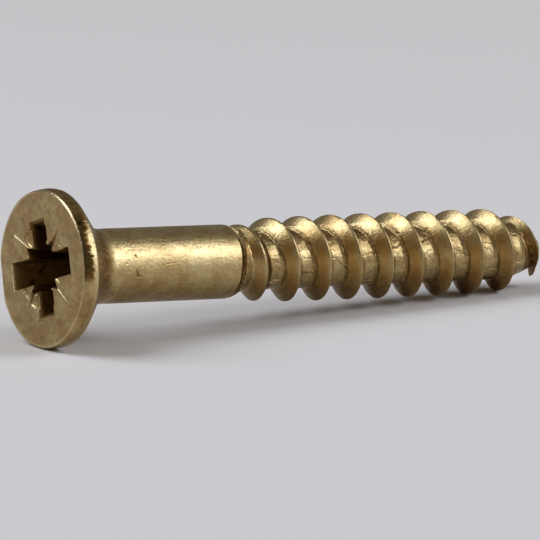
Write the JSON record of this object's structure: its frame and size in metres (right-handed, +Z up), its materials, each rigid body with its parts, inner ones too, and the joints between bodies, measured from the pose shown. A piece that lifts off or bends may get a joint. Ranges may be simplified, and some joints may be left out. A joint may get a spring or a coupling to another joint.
{
  "type": "countersunk brass wood screw",
  "caption": "Countersunk brass wood screw with a cross recess, a plain shank and a coarse right-hand thread, lying on a table.",
  "frame": {"origin": "middle of the base of the screw's box, on the table it lies on", "axes": "+X along the lying screw towards its point, +Y across it, +Z up; the screw's own axis dips 4.0 degrees towards the point, because it rests on the rim of its head and on a crest near the point"},
  "size_m": [0.0252, 0.0064, 0.0065],
  "materials": {
    "brass": "dull bare brass, slightly grainy, darkened in the recess and at the thread's root"
  },
  "bodies": {
    "root": {"wood_screw": "brass"}
  },
  "joints": []
}
